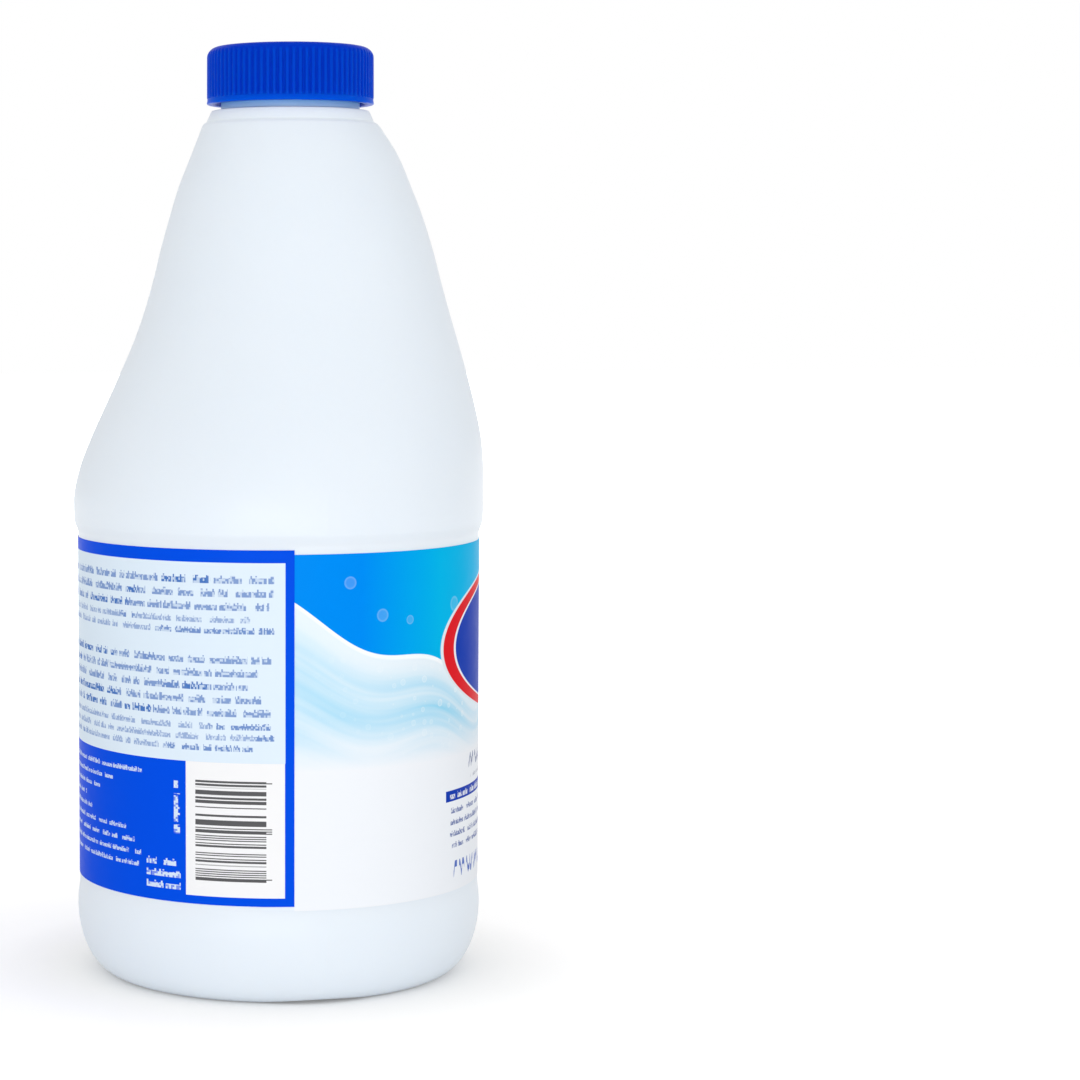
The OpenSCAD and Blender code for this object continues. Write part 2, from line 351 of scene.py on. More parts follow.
def cap_plastic():
    """Royal blue moulded polypropylene with a satin gloss.

    It has a painted highlight on the crests of the ribs, and painted light at the lip, where light
    comes through.
    """
    paint = Paint("cap_polypropylene", {
        "Specular IOR Level": 0.015, "Subsurface Weight": 0.35,
        "Subsurface Radius": (0.02, 0.3, 1.0), "Subsurface Scale": 2.5 * MM})
    grain = paint.noise(paint.place, 3200)
    flow = paint.noise(paint.place, 140)
    x, y, z = paint.parts(paint.place)
    out = (x ** 2 + (y - NECK_Y) ** 2).root()
    # Painted highlight: the ribs' crests are paler and the grooves darker
    crest = out.over(RIB_R - RIB_DEPTH / 2, RIB_DEPTH)
    # Painted light at the lip, for light that comes through the thin plastic there
    painted_lip_light = z.under(CAP_LOW.z + 1.2 * MM, 2.4 * MM)
    colour = paint.mix(crest * 0.8 + flow * 0.2, CAP_BLUE, CAP_CREST_HIGHLIGHT)
    paint.colour(paint.mix(painted_lip_light, colour, CAP_LIP_PAINTED_LIGHT))
    paint.roughness(0.24 + flow * 0.1 + grain * 0.06)
    paint.bump(grain, 0.01 * MM)
    return paint.material


def seal_foam():
    """White closed-cell foam with a matt skin."""
    paint = Paint("seal_foam", {"Roughness": 0.75})
    cells = paint.node("ShaderNodeTexVoronoi", inputs={"Vector": paint.place, "Scale": 2500.0})
    paint.colour(paint.mix(cells["Distance"], FOAM, FOAM_WALL))
    paint.bump(cells["Distance"], 0.08 * MM)
    return paint.material


# The print on the label. Distances are in millimetres: across runs round the label,
# anticlockwise from the lap's visible edge, and up is the height above the base.
# The front's print goes as far as FRONT_END, and the back's from there to the lap.
ROUND_MM = 2 * math.pi * LABEL_R / MM
FRONT_END = 179.7
FRONT_MID = FRONT_END / 2
LOW = LABEL_LOW.z / MM
HIGH = LABEL_HIGH.z / MM

# The wave: its crest's height in the middle, its climb to the front's ends, and how high
# and how often it swells
CREST_LOW = 70.0
CREST_CLIMB = 29.0
SWELL_H = 2.6
SWELL_RATE = 0.14

# The badge: its middle's height, and half its width and height. Then its drop's size.
BADGE_UP = 87.0
BADGE_W = 47.5
BADGE_H = 19.0
DROP_R = 6.2
DROP_TALL = 14.0

# The back: its border's width at the sides and on top, the left edge of its text, and the
# top of its lower block
BORDER_W = 2.2
BORDER_H = 3.1
TEXT_LEFT = 184.5
BLOCK_TOP = 60.6

# Colours of the print and of its paper
ROYAL = (0.001, 0.075, 0.76)
DEEP = (0.006, 0.045, 0.42)
AZURE = (0.0, 0.25, 0.86)
SKY = (0.0, 0.455, 0.80)
RED = (0.72, 0.012, 0.02)
WATER = (0.20, 0.62, 0.86)
MIST = (0.62, 0.85, 0.96)
PALE = (0.72, 0.83, 0.935)
PAPER = (0.85, 0.88, 0.925)
CLEAR = (0.775, 0.842, 0.919)
FROTH = (0.93, 0.96, 0.98)
CREST_WHITE = (0.90, 0.95, 0.98)
BUBBLE = (0.55, 0.80, 0.97)
SILVER = (0.75, 0.82, 0.88)
DROP_WHITE = (0.80, 0.91, 0.97)
CODE_WHITE = (0.88, 0.885, 0.90)
CODE_INK = (0.05, 0.05, 0.055)
INK = (0.045, 0.16, 0.50)
NAME_INK = (0.10, 0.13, 0.30)
SMALL_INK = (0.25, 0.27, 0.36)
ROW_INK = (0.05, 0.10, 0.34)
BOLD_INK = (0.02, 0.10, 0.48)

# The badge's oval bands, from the outside in: size beside the whole oval, and colour
BADGE_BANDS = ((1.0, SILVER), (0.975, RED), (0.87, PAPER), (0.85, DEEP))

# The back's rows of text: the lowest row's foot, how many rows, their pitch and weight
BACK_TEXT = ((63.4, 3, 2.66, 0.6), (71.9, 5, 3.25, 0.74), (92.2, 2, 2.7, 0.6), (97.9, 3, 3.3, 0.74))


def dice(x, y, z=0.0):
    """A number from 0 to 1 that is always the same for the same three."""
    return ((x * 12.9898 + y * 78.233 + z * 37.719).sine() * 43758.55) % 1.0


def words(paint, across, up, low, rows, pitch, height, seed, grain=0.42):
    """Greeked rows of text: bars broken into words and specks that can't be read.

    They fill rows up from low, and height is a bar's share of the pitch.
    """
    level = (up - low) / pitch
    row = level.floor()
    letter = (across / grain).floor()
    rise = (level - row) / height
    speck = dice(letter, row, (rise * 3.4).floor() + seed).over(0.36, 0.1)
    tall = dice(letter, row, seed + 0.5).over(0.7, 0.01)
    bar = rise.within(0.0, tall * 0.3 + 0.7, 0.06)
    gap = paint.noise(across * 0.35 + row * 77.7 + seed, 1.0, 3).over(0.41, 0.02)
    return bar * gap * (speck * 0.7 + 0.3) * row.within(-0.5, rows - 0.5, 0.01)


def scribble(paint, across, up, middle, height, seed):
    """A scribbled line, broken into words, that stands for large lettering."""
    wobble = paint.noise(across * 0.6 + seed, 1.0, 1)
    stroke = (across * 2.6 + wobble * 7.0).sine() * (height / 2)
    line = abs(up - middle - stroke).under(height * 0.3, 0.12)
    return line * paint.noise(across * 0.2 + seed * 3.0, 1.0, 1).over(0.42, 0.02)


def ragged(across, up, low, pitch, end, spread, seed):
    """1 up to a ragged end of each row of text."""
    row = ((up - low) / pitch).floor()
    return across.under(end - dice(row, seed) ** 3 * spread, 0.3)


def bubbles(paint, across, up, size, share, seed):
    """Round bubbles of many sizes, with a bright rim."""
    place = paint.join(across / size + seed, up / size, seed)
    cells = paint.node("ShaderNodeTexVoronoi", {"voronoi_dimensions": "2D"},
                       {"Vector": place, "Scale": 1.0, "Randomness": 0.75})
    pick, grow, _ = paint.parts(cells["Color"])
    there = pick.over(1 - share, 0.001)
    radius = grow * 0.22 + 0.06
    share_out = cells["Distance"] / radius
    inside, rim = share_out.under(1.0, 0.12), share_out.over(0.75, 0.2)
    return inside * there * (rim * 0.5 + 0.4)


def front_print(paint, across, up):
    """The front of the label: a rolling wave under an azure field, a plain badge and text."""
    off = abs(across - FRONT_MID) / FRONT_MID
    swell = (across * SWELL_RATE + 2.2).sine() * SWELL_H
    crest = off ** 1.35 * CREST_CLIMB + CREST_LOW + swell
    below = (crest - up) / (off * 0.75 + 0.25)
    sky = paint.mix(off.over(0.67, 0.28), SKY, AZURE)
    glow = off.under(0.5, 1.0)
    fade = up.over(66.0, 13.0)
    streak = paint.noise(paint.join(below * 0.13, across * 0.008, 4.0), 1.0, 3).over(0.48, 0.22)
    depth = below.over(8.0, 10.0) * fade * (streak * 0.75 + 0.3) * (glow * 0.5 + 0.55)
    colour = paint.mix(fade * 0.3, PAPER, MIST)
    colour = paint.mix(depth, colour, WATER)
    foam = bubbles(paint, across, up, 3.4, 0.5, 3.0) * glow * fade * below.within(4.0, 40.0, 6.0)
    colour = paint.mix(foam, colour, FROTH)
    colour = paint.mix((crest - up).within(0.0, 1.1, 0.5), colour, CREST_WHITE)
    field = up.over(crest, 0.08)
    colour = paint.mix(field, colour, sky)
    rising = bubbles(paint, across, up, 8.5, 0.2, 9.0) * field
    colour = paint.mix(rising * 0.25, colour, BUBBLE)
    return front_words(paint, across, up, badge(paint, across, up, colour))


def badge(paint, across, up, colour):
    """A plain oval badge with a drop in it, in the middle of the front."""
    out = across - FRONT_MID
    rise = up - BADGE_UP
    oval = ((out / BADGE_W) ** 2 + (rise / BADGE_H) ** 2).root()
    for size, band in BADGE_BANDS:
        colour = paint.mix(oval.under(size, 0.006), colour, band)
    tail = ((DROP_TALL - (rise + DROP_TALL / 2)) / DROP_TALL).most(0.0)
    round_off = (out ** 2 + (rise + 3.0).least(0.0) ** 2).root()
    width = DROP_R * tail.least(1.0) ** 0.8
    drop = round_off.under(width, 0.1) * rise.within(-9.5, DROP_TALL / 2, 0.1)
    return paint.mix(drop, colour, DROP_WHITE)


def front_words(paint, across, up, colour):
    """The rows of greeked text low on the front."""
    name = scribble(paint, across, up, 57.2, 2.4, 21.0) * across.within(58.0, 121.0)
    colour = paint.mix(name * 0.85, colour, NAME_INK)
    small = words(paint, across, up, 52.6, 1, 2.0, 0.5, 22.0) * across.within(60.0, 119.0)
    colour = paint.mix(small * 0.6, colour, SMALL_INK)
    heading = up.within(48.2, 51.0) * across.within(45.0, 134.7)
    colour = paint.mix(heading, colour, DEEP)
    title = words(paint, across, up, 48.75, 1, 2.2, 0.75, 23.0, 0.5) * across.within(46.5, 118.0)
    colour = paint.mix(title * 0.8, colour, PAPER)
    rows = words(paint, across, up, 36.2, 4, 2.95, 0.5, 24.0) * across.within(47.0, 132.0)
    rows = rows * ragged(across, up, 36.2, 2.95, 132.0, 40.0, 5.0)
    colour = paint.mix(rows * 0.8, colour, ROW_INK)
    bold = scribble(paint, across, up, 30.6, 2.8, 25.0) * across.within(49.0, 130.0)
    return paint.mix(bold * 0.9, colour, BOLD_INK)


def back_print(paint, across, up):
    """The back of the label: greeked text on a pale field, and a box of stripes."""
    field = across.within(FRONT_END + BORDER_W, ROUND_MM - BORDER_W)
    field = field * up.within(BLOCK_TOP, HIGH - BORDER_H)
    colour = paint.mix(field, ROYAL, PALE)
    for low, rows, pitch, weight in BACK_TEXT:
        text = words(paint, across, up, low, rows, pitch, 0.6, low, pitch / 8)
        text = text * across.over(TEXT_LEFT)
        text = text * ragged(across, up, low, pitch, 321.8, 7.0, low)
        heavy = paint.noise(across * 0.02 + ((up - low) / pitch).floor() * 7.3 + low, 1.0)
        colour = paint.mix(text * (heavy.over(0.56, 0.02) * 0.22 + weight), colour, INK)
    block = up.under(60.0)
    fine = words(paint, across, up, 33.0, 9, 2.95, 0.42, 32.0, 0.35)
    fine = fine * across.within(TEXT_LEFT, 286.0)
    fine = fine * ragged(across, up, 33.0, 2.95, 286.0, 40.0, 9.0)
    colour = paint.mix(fine * block * 0.75, colour, PALE)
    low_rows = words(paint, across, up, 28.4, 3, 2.9, 0.6, 33.0, 0.5) * across.within(287.5, 297.8)
    up_side = words(paint, up, across, 295.9, 1, 2.9, 0.6, 34.0, 0.5) * up.within(42.0, 55.5)
    colour = paint.mix(low_rows.most(up_side) * 0.9, colour, PALE)
    return code_box(paint, across, up, colour)


def code_box(paint, across, up, colour):
    """A white box with stripes of many widths, which stand for no number."""
    box = across.within(299.3, ROUND_MM - 2.3) * up.within(27.4, BLOCK_TOP)
    colour = paint.mix(box, colour, CODE_WHITE)
    module = 0.27
    line = ((up - 31.0) / module).floor()
    width = dice((line / 3).floor(), 2.0)
    dark = dice(line, 1.0).over(0.5 + width * 0.2, 0.01)
    guard = line.within(1.5, 4.5, 0.01).most(line.within(44.5, 49.5, 0.01))
    guard = guard.most(line.within(89.5, 92.5, 0.01)) * (line % 2)
    reach = across.within(301.9, 319.9).most(across.within(301.9, 321.3) * guard.over(0.5))
    stripes = dark.most(guard) * reach * line.within(-0.5, 94.5, 0.01)
    return paint.mix(stripes * 0.93, colour, CODE_INK)


def printed_film():
    """The label's film: a print with a soft gloss. Its edge under the lap has no print."""
    paint = Paint("printed_film", {"Specular IOR Level": 0.01})
    share, rise, _ = paint.parts(paint.node("ShaderNodeUVMap", {"uv_map": "print"})["UV"])
    across = share * ROUND_MM
    up = rise * (HIGH - LOW) + LOW
    front, back = front_print(paint, across, up), back_print(paint, across, up)
    both = paint.mix(across.over(FRONT_END), front, back)
    paint.colour(paint.mix(across.over(0.0, 0.01), CLEAR, both))
    pucker = paint.noise(paint.join(across * 0.06, up * 0.16, 1.0), 1.0, 2)
    grain = paint.noise(paint.place, 1800)
    paint.roughness(0.27 + pucker * 0.12 + grain * 0.05)
    paint.bump(pucker + grain * 0.02, 0.25 * MM)
    return paint.material


# The floor's own glow: what it has everywhere, and what comes on further out, each by its
# distance from the middle, the width of its slope and its strength
FLOOR_WHITE = (0.93, 0.92, 0.905)
FLOOR_GLOW = 0.13
FLOOR_RINGS = ((0.55, 0.7, 0.7), (0.12, 0.16, 0.12), (0.064, 0.03, 0.13))


def studio_floor():
    """A white floor that shades softly under the bottle and shows pure white further out."""
    material = bpy.data.materials.new("studio_floor")
    material.use_nodes = True
    nodes = Nodes(material.node_tree)
    end = nodes.tree.nodes["Material Output"]
    nodes.tree.nodes.remove(nodes.tree.nodes["Principled BSDF"])
    x, y, _ = nodes.parts(nodes.node("ShaderNodeTexCoord")["Object"])
    far = (x * x + y * y).root()
    glow = FLOOR_GLOW
    for edge, soft, strength in FLOOR_RINGS:
        glow = glow + far.over(edge, soft) * strength
    diffuse = nodes.node("ShaderNodeBsdfDiffuse", inputs={"Color": FLOOR_WHITE})["BSDF"]
    light = nodes.node("ShaderNodeEmission", inputs={"Strength": glow * nodes.seen()})["Emission"]
    both = nodes.node("ShaderNodeAddShader", inputs={0: diffuse, 1: light})["Shader"]
    nodes.plug(end.inputs["Surface"], both)
    return material


# Meshes

def add_object(name, data):
    """Puts a new object with this data in the scene."""
    made = bpy.data.objects.new(name, data)
    bpy.context.scene.collection.objects.link(made)
    return made


def plain_mesh(name, verts, faces):
    mesh = bpy.data.meshes.new(name)
    mesh.from_pydata(verts, [], faces)
    return mesh


def smooth(mesh, crease=40):
    """Shades a mesh smooth but for edges that are sharper than crease, in degrees."""
    mesh.polygons.foreach_set("use_smooth", [True] * len(mesh.polygons))
    mesh.set_sharp_from_angle(angle=math.radians(crease))


def piece(name, verts, faces, material):
    """A finished mesh object, which has its place in its mesh."""
    mesh = plain_mesh(name, verts, faces)
    smooth(mesh)
    mesh.materials.append(material)
    return add_object(name, mesh)


def arc(r, z, width, start, end, steps, height=None):
    """Points (radius, z) of a corner about (r, z), between two angles in degrees."""
    height = height or width
    angles = [math.radians(start + (end - start) * i / steps) for i in range(steps + 1)]
    return [(r + width * math.cos(a), z + height * math.sin(a)) for a in angles]


def round_ring(r, y, z, turns):
    """The points of a level ring about (0, y), or a single pole where it has no radius."""
    return [Vector((r * math.cos(a), y + r * math.sin(a), z)) for a in (turns if r else turns[:1])]


def skin(name, rings, material):
    """A closed skin over a row of rings. Its outer face is on the right of the row's way up."""
    verts, faces, rows = [], [], []
    for ring in rings:
        rows.append(range(len(verts), len(verts) + len(ring)))
        verts += ring
    for low, high in zip(rows, rows[1:]):
        count = max(len(low), len(high))
        for k in range(count):
            n = (k + 1) % count
            if len(low) == 1:
                faces.append((low[0], high[n], high[k]))
            elif len(high) == 1:
                faces.append((low[k], low[n], high[0]))
            else:
                faces.append((low[k], low[n], high[n], high[k]))
    return piece(name, verts, faces, material)


def strip(name, loops, material, inwards=False):
    """A closed bar through a row of loops, with its faces turned over if it stands inwards."""
    n = len(loops[0])
    last = (len(loops) - 1) * n
    faces = []
    for start in range(0, last, n):
        for k in range(n):
            low, high = start + k, start + (k + 1) % n
            faces.append((low, low + n, high + n, high))
    faces += [tuple(range(n)), tuple(range(last + n - 1, last - 1, -1))]
    if inwards:
        faces = [face[::-1] for face in faces]
    return piece(name, [point for loop in loops for point in loop], faces, material)


def side_r(z):
    """Radius of the body's side at height z, between the heel and the bulge."""
    if z < PANEL_LOW_Z:
        return PANEL_R + BAND_PROUD * ease((PANEL_LOW_Z - z) / BAND_STEP_H)
    if z < PANEL_HIGH_Z:
        return PANEL_R
    crown = PANEL_DEPTH * (1 - TOP_STEP_SHARE)
    to_go = (BULGE_Z - z) / (BULGE_Z - PANEL_HIGH_Z)
    step = ease((z - PANEL_HIGH_Z) / TOP_STEP_H)
    return PANEL_R + (PANEL_DEPTH - crown) * step + crown * (1 - to_go ** 2)


def shoulder_ring(z):
    """Radius, y and z of the shoulder's ring at height z, from the bulge to the collar."""
    u = (z - BULGE_Z) / (SHOULDER_Z - BULGE_Z)
    front = BODY_R + (SHOULDER_TOP_R - NECK_Y - BODY_R) * through(FRONT_IN, u)
    back = BODY_R + (SHOULDER_TOP_R + NECK_Y - BODY_R) * through(BACK_IN, u)
    over = max(z - SHOULDER_Z + SHOULDER_ROUND, 0)
    edge = SHOULDER_ROUND - math.sqrt(SHOULDER_ROUND ** 2 - over ** 2)
    return (front + back) / 2 - edge, (back - front) / 2, z


def base_outline():
    """Points (radius, z) of the outer face, from the middle of the base to the bulge."""
    heel_r = PANEL_R + BAND_PROUD - HEEL_W
    ring_in = heel_r - RING_W
    rise = [ring_in - PUSHUP_RUN * (1 - i / 16) for i in range(17)]
    points = [(0, PUSHUP_H), (9 * MM, PUSHUP_H), (18 * MM, PUSHUP_H)]
    points += [(r, PUSHUP_H * ease((ring_in - r) / PUSHUP_RUN)) for r in rise]
    points += [(ring_in + RING_W * t, 0) for t in (0.33, 0.67)]
    points += arc(heel_r, HEEL_H, HEEL_W, -90, 0, 30, HEEL_H)
    levels = [PANEL_LOW_Z - BAND_STEP_H * (1 - i / 12) for i in range(13)]
    levels += [PANEL_LOW_Z + (PANEL_HIGH_Z - PANEL_LOW_Z) * i / 12 for i in range(1, 12)]
    levels += [PANEL_HIGH_Z + TOP_STEP_H * i / 12 for i in range(13)]
    crown_z = PANEL_HIGH_Z + TOP_STEP_H
    levels += [crown_z + (BULGE_Z - crown_z) * i / 6 for i in range(1, 6)]
    return points + [(side_r(z), z) for z in levels]


def neck_outline():
    """Points (radius, z) of the collar, the neck and its rim, up from the shoulder's top."""
    edge, root = 0.3 * MM, 0.35 * MM
    points = [(COLLAR_LOW_R + 0.22 * MM, SHOULDER_Z - 0.1 * MM)]
    points += [(COLLAR_LOW_R + 0.06 * MM, SHOULDER_Z + 0.12 * MM)]
    points += [(COLLAR_LOW_R - 0.06 * MM, SHOULDER_Z + 0.38 * MM)]
    points += [(COLLAR_LOW_R - 0.2 * MM, SHOULDER_Z + 0.7 * MM)]
    points += [(COLLAR_HIGH_R + 0.25 * MM, COLLAR_Z - 0.6 * MM)]
    points += arc(COLLAR_HIGH_R - edge, COLLAR_Z - edge, edge, 15, 90, 5)
    points += [(NECK_R + 2 * root, COLLAR_Z)]
    points += arc(NECK_R + root, COLLAR_Z + root, root, -90, -180, 5)
    points += [(NECK_R, COLLAR_Z + (NECK_H - 1 * MM) * i / 4) for i in range(1, 5)]
    points += arc(NECK_R - RIM_ROUND, RIM_Z - RIM_ROUND, RIM_ROUND, 0, 90, 5)
    points += arc(BORE_R + edge, RIM_Z - edge, edge, 90, 180, 4)
    return points


def relieve(point):
    """Lifts a point of the base to the shallow arch that crosses the ring it stands on."""
    arch_r = ((NOTCH_W / 2) ** 2 + NOTCH_H ** 2) / (2 * NOTCH_H)
    arch = NOTCH_H - arch_r + math.sqrt(arch_r ** 2 - point.y ** 2)
    point.z = -smaller(-point.z, -arch, 0.2 * MM)
    return point


def part(point):
    """Raises a point where it lies on the parting line."""
    off = abs(point.y)
    on_panel = PANEL_LOW_Z - BAND_STEP_H < point.z < PANEL_HIGH_Z + TOP_STEP_H
    if off < PARTING_W and not on_panel and abs(point.x) > NECK_R:
        point.x += math.copysign(PARTING_H * (1 - off / PARTING_W), point.x)
    return point


def bottle_turns():
    """Directions round the bottle: even steps, with closer ones at the parting line."""
    steps = 192
    turns = [2 * math.pi * i / steps for i in range(steps)]
    beside = [PARTING_W * share / BODY_R for share in (-1, -0.4, 0.4, 1)]
    turns += [side + step for side in (0, math.pi) for step in beside]
    return sorted(turn % (2 * math.pi) for turn in turns)


def make_bottle(material):
    """One skin: over the base, up the body to the neck's rim, and down inside."""
    turns = bottle_turns()
    body = [round_ring(r, 0, z, turns) for r, z in base_outline()]
    round_z = SHOULDER_Z - SHOULDER_ROUND
    levels = [BULGE_Z + (round_z - BULGE_Z) * i / 84 for i in range(85)]
    levels += [round_z + SHOULDER_ROUND * math.sin(math.radians(a)) for a in (15, 30, 45)]
    shoulder = [shoulder_ring(z) for z in levels]
    body += [round_ring(r, y, z, turns) for r, y, z in shoulder]
    rings = [[part(relieve(point)) for point in ring] for ring in body]
    rings += [round_ring(r, NECK_Y, z, turns) for r, z in neck_outline()]
    depths = [4 * MM, 9 * MM, 14 * MM, RIM_Z - SHOULDER_Z]
    rings += [round_ring(BORE_R, NECK_Y, RIM_Z - depth, turns) for depth in depths]
    # Inside, every fifth of the shoulder's rings will do
    for r, y, z in shoulder[-4::-5]:
        rings.append(round_ring(r - WALL_T * 1.25, y, z - WALL_T / 2, turns))
    inside = [(PANEL_R - WALL_T, z) for z in (PANEL_HIGH_Z, BULGE_Z / 2, PANEL_LOW_Z)]
    inner_w = HEEL_W - WALL_T - BAND_PROUD
    inside += arc(PANEL_R - WALL_T - inner_w, HEEL_H, inner_w, 0, -90, 8, HEEL_H - FLOOR_T)
    inside += [(32 * MM, FLOOR_T + 2 * MM), (26 * MM, FLOOR_T + PUSHUP_H), (0, FLOOR_T + PUSHUP_H)]
    rings += [round_ring(r, 0, z, turns) for r, z in inside]
    return skin("bottle_shell", rings, material)


def make_ridge(name, foot_r, depth, top_z, turns, material):
    """A screw thread's ridge, tapered at its ends. A negative depth stands inwards."""
    steps = int(turns * 96)
    span = turns * 2 * math.pi
    bite = math.copysign(0.3 * MM, depth)
    foot, crest = RIDGE_FOOT_W / 2, RIDGE_CREST_W / 2
    flank = crest + (foot - crest) * 0.15
    loops = []
    for i in range(steps + 1):
        swept = span * i / steps
        full = max(ease(min(swept, span - swept) / THREAD_TAPER), 0.05)
        a = THREAD_END - span + swept
        z = top_z - (span - swept) / (2 * math.pi) * PITCH
        half = [(foot_r - bite, foot), (foot_r, foot), (foot_r + depth * full * 0.8, flank),
                (foot_r + depth * full, crest * 0.8)]
        section = [(r, -w) for r, w in half] + half[::-1]
        loops.append([(r * math.cos(a), NECK_Y + r * math.sin(a), z + w) for r, w in section])
    return strip(name, loops, material, inwards=depth < 0)


def make_label(material):
    """One turn of film, whose end climbs on to its start and laps over it.

    Its UV map, print, holds each point's share of the turn and of the film's height.
    """
    lap = LAP_W / PANEL_R
    steps, rows = 360, 10
    climb = 1.5 * MM / PANEL_R
    skim = 0.01 * MM
    loops, print_at = [], []
    for i in range(steps + 1):
        swept = -lap + (2 * math.pi + lap) * i / steps
        lift = FILM_T * ease((swept - (2 * math.pi - lap - climb)) / climb) + skim
        skew = LAP_SKEW * (swept / (2 * math.pi) - 0.5)
        low, high = LABEL_LOW.z + skew, LABEL_HIGH.z + skew
        inner, outer = PANEL_R + lift, PANEL_R + lift + FILM_T
        face = [(outer, low + (high - low) * k / rows) for k in range(rows + 1)]
        section = [(inner, low), *face, (inner, high)]
        a = LAP_TURN + swept
        loops.append([(r * math.cos(a), r * math.sin(a), z) for r, z in section])
        print_at += [(swept / (2 * math.pi), (z - low) / (high - low)) for _, z in section]
    label = strip("label_film", loops, material)
    places = label.data.uv_layers.new(name="print").data
    for corner in label.data.loops:
        places[corner.index].uv = print_at[corner.vertex_index]
    return label


def make_seal(material):
    """The foam disc in the cap, with softly cut edges."""
    r, cut = SEAL_HIGH.x, 0.15 * MM
    low, high = SEAL_LOW.z, SEAL_HIGH.z
    outline = [(0, low), (14 * MM, low), (r - cut, low), (r, low + cut)]
    outline += [(r, high - cut), (r - cut, high), (14 * MM, high), (0, high)]
    turns = [2 * math.pi * i / 96 for i in range(96)]
    return skin("seal_disc", [round_ring(r, NECK_Y, z, turns) for r, z in outline], material)


# The cap

def cap_outline(crest):
    """Points (radius, z) down the cap and up inside it.

    crest is 1 on a rib's top, and 0 in the groove beside it.
    """
    groove_r = RIB_R - RIB_DEPTH
    wall_r = groove_r + RIB_DEPTH * crest
    band_r = RIB_R - RIB_DEPTH / 4
    lip_r = band_r + CAP_FLARE
    top, lip, band = CAP_HIGH.z, CAP_LOW.z, CAP_LOW.z + CAP_BAND_H
    inner_top = SEAL_HIGH.z
    points = [(0, top - 0.12 * MM), (0.6 * MM, top - 0.12 * MM), (0.9 * MM, top - 0.3 * MM)]
    points += [(2.2 * MM, top - 0.3 * MM), (2.9 * MM, top), (9 * MM, top), (15 * MM, top)]
    corner = arc(RIB_R - CAP_EDGE_R, top - CAP_EDGE_R, CAP_EDGE_R, 90, 0, 12)
    points += [(smaller(r, wall_r, 0.12 * MM), z) for r, z in corner]
    points += [(wall_r, z) for z in (band + 4 * MM, band + 0.3 * MM)]
    points += [(wall_r + (band_r - wall_r) * 0.3, band + 0.12 * MM), (band_r, band)]
    points += [(band_r + 0.02 * MM, band - 0.3 * MM), (lip_r, lip + 0.25 * MM)]
    points += [(lip_r - 0.05 * MM, lip + 0.07 * MM), (lip_r - 0.2 * MM, lip)]
    points += [(SKIRT_IN_R + 0.3 * MM, lip), (SKIRT_IN_R, lip + 0.3 * MM)]
    points += [(SKIRT_IN_R, lip + 5 * MM), (SKIRT_IN_R, inner_top), (0, inner_top)]
    return points


def rib_sector():
    """One rib of the cap, from the middle of a groove to the next, from top to inside."""
    columns = [(-0.5, 0), (-0.33, 0), (-0.26, 0.3), (-0.2, 0.85), (-0.13, 1)]
    columns += [(-at, crest) for at, crest in columns[::-1]]
    verts, faces = [], []
    for at, crest in columns:
        a = 2 * math.pi * at / RIB_COUNT
        verts += [(r * math.cos(a), r * math.sin(a), z) for r, z in cap_outline(crest)]
    rows = len(cap_outline(0))
    for column in range(len(columns) - 1):
        for row in range(rows - 1):
            low = column * rows + row
            faces.append((low, low + 1, low + rows + 1, low + rows))
    return add_object("cap_shell", plain_mesh("cap_shell", verts, faces))


def round_copies():
    """A node tree that sets copies of a mesh round an axis and joins them into one skin."""
    tree = bpy.data.node_groups.new("round_copies", "GeometryNodeTree")
    inputs = {"Sector": "Geometry", "Copies": "Int", "Axis": "Vector", "Seam": "Float",
              "Finish": "Material"}
    sockets = {}
    for name, kind in inputs.items():
        sockets[name] = tree.interface.new_socket(
            name, in_out="INPUT", socket_type="NodeSocket" + kind).identifier
    tree.interface.new_socket("Skin", in_out="OUTPUT", socket_type="NodeSocketGeometry")
    nodes = Nodes(tree)
    given = nodes.node("NodeGroupInput")
    points = nodes.node("GeometryNodePoints", inputs={
        "Count": given["Copies"], "Position": given["Axis"]})["Points"]
    index = nodes.node("GeometryNodeInputIndex")["Index"]
    turn = index * (2 * math.pi) / given["Copies"]
    turned = nodes.node("FunctionNodeEulerToRotation", inputs={0: nodes.join(0.0, 0.0, turn)})
    copies = nodes.node("GeometryNodeInstanceOnPoints", inputs={
        "Points": points, "Instance": given["Sector"],
        "Rotation": turned["Rotation"]})["Instances"]
    real = nodes.node("GeometryNodeRealizeInstances", inputs={"Geometry": copies})["Geometry"]
    joined = nodes.node("GeometryNodeMergeByDistance", inputs={
        "Geometry": real, "Distance": given["Seam"]})["Geometry"]
    finished = nodes.node("GeometryNodeSetMaterial", inputs={
        "Geometry": joined, "Material": given["Finish"]})["Geometry"]
    end = tree.nodes.new("NodeGroupOutput")
    nodes.plug(end.inputs[0], finished)
    return tree, sockets


def make_cap(material):
    """The cap's shell: its ribs are copies of one, set round the neck's axis."""
    cap = rib_sector()
    tree, sockets = round_copies()
    modifier = cap.modifiers.new("ribs", "NODES")
    modifier.node_group = tree
    modifier[sockets["Copies"]] = RIB_COUNT
    modifier[sockets["Axis"]] = (0, NECK_Y, 0)
    modifier[sockets["Seam"]] = 0.002 * MM
    modifier[sockets["Finish"]] = material
    shaped = cap.evaluated_get(bpy.context.evaluated_depsgraph_get())
    mesh = bpy.data.meshes.new_from_object(shaped)
    cap.modifiers.clear()
    cap.data = mesh
    smooth(mesh, 50)
    return cap


# The studio

WORLD_LEVEL = 0.77
FLOOR_REACH = 6
LAMP_AIM = Vector((0, 0, 0.12))

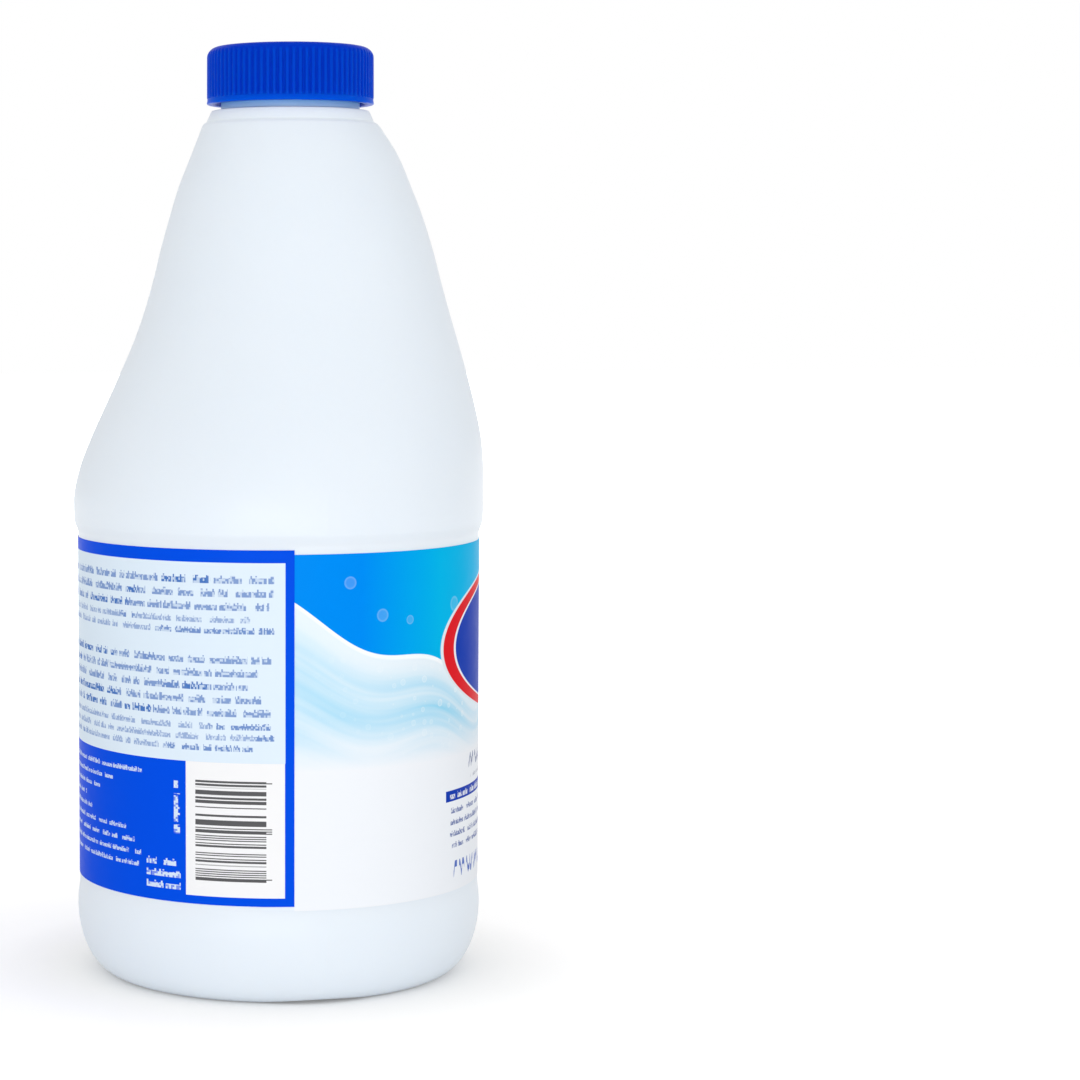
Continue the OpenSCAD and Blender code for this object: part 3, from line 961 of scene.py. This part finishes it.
# The soft lights: turn and climb in degrees, distance, width, height and power
LAMPS = {
    "low_strip": (-108, -3, 1.1, 1.0, 0.07, 3.7),
    "side_softbox": (-35, 15, 1.4, 0.8, 0.6, 1.1),
    "top_softbox": (-105, 66, 1.2, 1.0, 0.5, 0.4),
}


def set_camera():
    """The photograph's camera, with its frame shifted to put the bottle on its left."""
    camera = add_object("camera", bpy.data.cameras.new("camera"))
    camera.data.sensor_width = SENSOR_MM
    camera.data.lens = LENS_PX / FRAME_PX * SENSOR_MM
    camera.data.shift_x = 0.5 - BOTTLE_PX / FRAME_PX
    camera.data.clip_start = 0.05
    camera.location = (CAMERA_REACH * math.sin(CAMERA_TURN),
                       -CAMERA_REACH * math.cos(CAMERA_TURN), CAMERA_Z)
    camera.rotation_euler = (math.pi / 2 - CAMERA_DIP, 0, CAMERA_TURN)
    bpy.context.scene.camera = camera


def add_lamp(name, turn, climb, distance, width, height, power):
    """A soft light that faces the bottle, turned and raised by degrees as a camera would be."""
    a, e = math.radians(turn), math.radians(climb)
    lamp = add_object(name, bpy.data.lights.new(name, "AREA"))
    lamp.data.shape = "RECTANGLE"
    lamp.data.size = width
    lamp.data.size_y = height
    lamp.data.energy = power
    lamp.visible_camera = False
    back = Vector((math.sin(a) * math.cos(e), -math.cos(a) * math.cos(e), math.sin(e)))
    lamp.location = LAMP_AIM + back * distance
    lamp.rotation_euler = back.to_track_quat("Z", "Y").to_euler()


def set_world():
    """Even light from all round, which is pure white where it is seen."""
    world = bpy.data.worlds.new("studio")
    bpy.context.scene.world = world
    world.use_nodes = True
    nodes = Nodes(world.node_tree)
    background = nodes.tree.nodes["Background"]
    nodes.plug(background.inputs["Color"], (1, 1, 1))
    nodes.plug(background.inputs["Strength"], nodes.seen() * (1 - WORLD_LEVEL) + WORLD_LEVEL)


def set_studio():
    """The floor, the lights and the camera."""
    sides = ((-1, -1), (1, -1), (1, 1), (-1, 1))
    corners = [(x * FLOOR_REACH, y * FLOOR_REACH, 0) for x, y in sides]
    piece("floor", corners, [(0, 1, 2, 3)], studio_floor())
    for name, numbers in LAMPS.items():
        add_lamp(name, *numbers)
    set_world()
    set_camera()
    bpy.context.scene.view_settings.view_transform = "Standard"


def dress(obj, body, slot, *nodes):
    """Puts a piece on its body, and in the place of CAD nodes. The slot is not used."""
    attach(obj, body)
    if nodes:
        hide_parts(*nodes)


def main():
    """Makes the bottle's pieces and the studio."""
    plastic, film = blown_plastic(), printed_film()
    blue, foam = cap_plastic(), seal_foam()
    neck_top = RIM_Z - THREAD_TOP_GAP
    # The cap's ridge hangs this far below the neck's, with THREAD_CLEAR between their flanks
    run = (RIDGE_FOOT_W - RIDGE_CREST_W) / RIDGE_H
    drop = (RIDGE_CREST_W + run * (RIDGE_H - THREAD_CLEAR) / 2
            + THREAD_CLEAR * math.sqrt(4 + run ** 2) / 2)
    dress(make_bottle(plastic), "bottle", "bottle_plastic", "bottle")
    thread = make_ridge("neck_thread", NECK_R, RIDGE_H, neck_top, NECK_TURNS, plastic)
    dress(thread, "bottle", "bottle_plastic")
    dress(make_label(film), "bottle", "label_film", "label")
    dress(make_cap(blue), "cap", "cap_plastic", "cap")
    thread = make_ridge("cap_thread", SKIRT_IN_R, -RIDGE_H, neck_top - drop, CAP_TURNS, blue)
    dress(thread, "cap", "cap_plastic")
    dress(make_seal(foam), "seal", "seal_foam", "seal")
    set_studio()


main()
